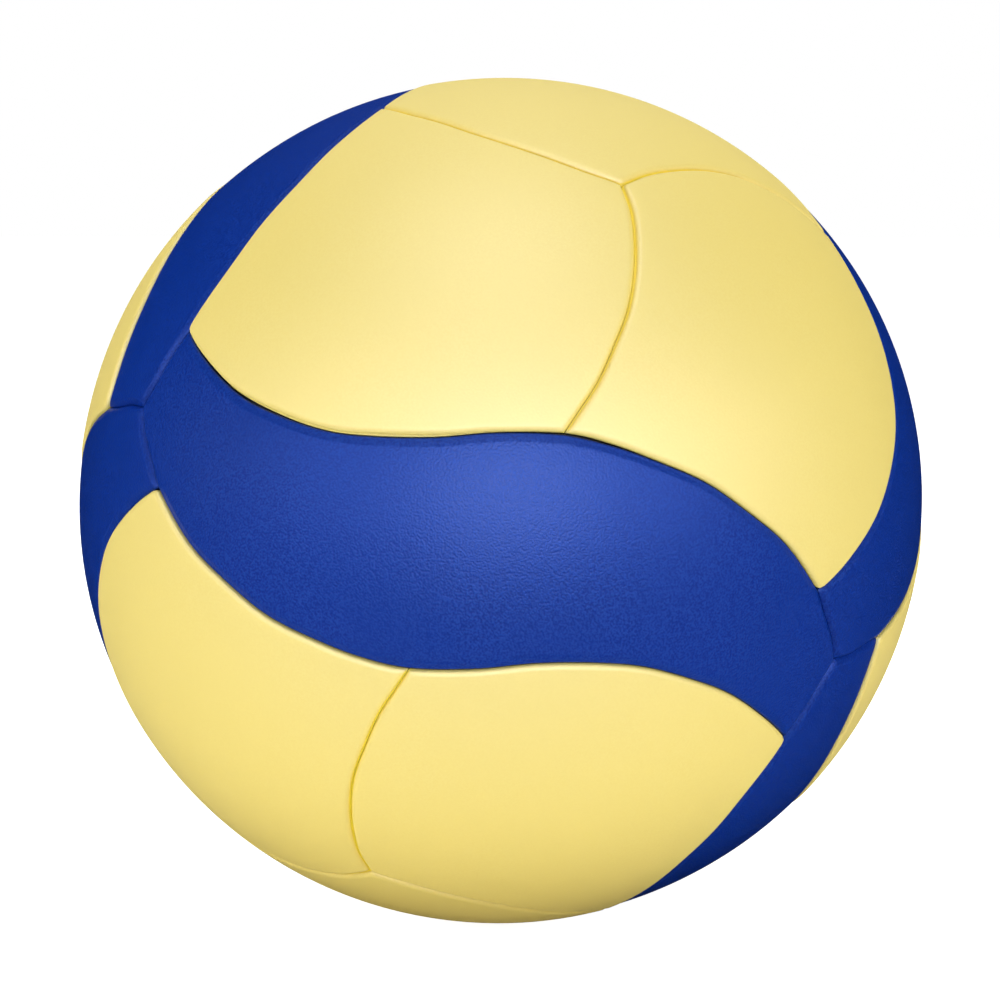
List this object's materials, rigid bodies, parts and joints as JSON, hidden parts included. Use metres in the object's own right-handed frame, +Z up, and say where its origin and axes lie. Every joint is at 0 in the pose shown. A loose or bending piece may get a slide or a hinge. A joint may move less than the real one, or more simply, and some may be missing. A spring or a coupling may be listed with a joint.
{
  "type": "volleyball",
  "caption": "Inflatable volleyball: S-shaped blue strips and kite-shaped yellow foam panels glued on a wound rubber carcass, with an inflation valve.",
  "frame": {"origin": "centre of the ball", "axes": "+Z up, -Y out of the middle of the front blue strip, +Y along the valve's axis out of the rear strip, +X to the right as seen from the front"},
  "size_m": [0.2098, 0.209, 0.21],
  "materials": {
    "blue_foam": "soft matt grained synthetic leather over foam",
    "yellow_foam": "soft matt grained synthetic leather over foam",
    "carcass_rubber": "matt moulded",
    "nylon_thread": "wound thread",
    "bladder_rubber": "smooth",
    "patch_rubber": "matt",
    "valve_rubber": "satin",
    "core_rubber": "satin"
  },
  "bodies": {
    "root": {"blue_panel_front": "blue_foam", "blue_panel_rear": "blue_foam", "blue_panel_right": "blue_foam", "blue_panel_left": "blue_foam", "blue_panel_top": "blue_foam", "blue_panel_bottom": "blue_foam", "yellow_panel_upper_1": "yellow_foam", "yellow_panel_upper_2": "yellow_foam", "yellow_panel_upper_3": "yellow_foam", "yellow_panel_lower_1": "yellow_foam", "yellow_panel_lower_2": "yellow_foam", "yellow_panel_lower_3": "yellow_foam", "yellow_panel_left_1": "yellow_foam", "yellow_panel_left_2": "yellow_foam", "yellow_panel_left_3": "yellow_foam", "yellow_panel_right_1": "yellow_foam", "yellow_panel_right_2": "yellow_foam", "yellow_panel_right_3": "yellow_foam", "rubber_carcass": "carcass_rubber", "nylon_winding": "nylon_thread", "bladder": "bladder_rubber", "bladder_patch": "patch_rubber", "valve_housing": "valve_rubber", "valve_core": "core_rubber"}
  },
  "joints": []
}
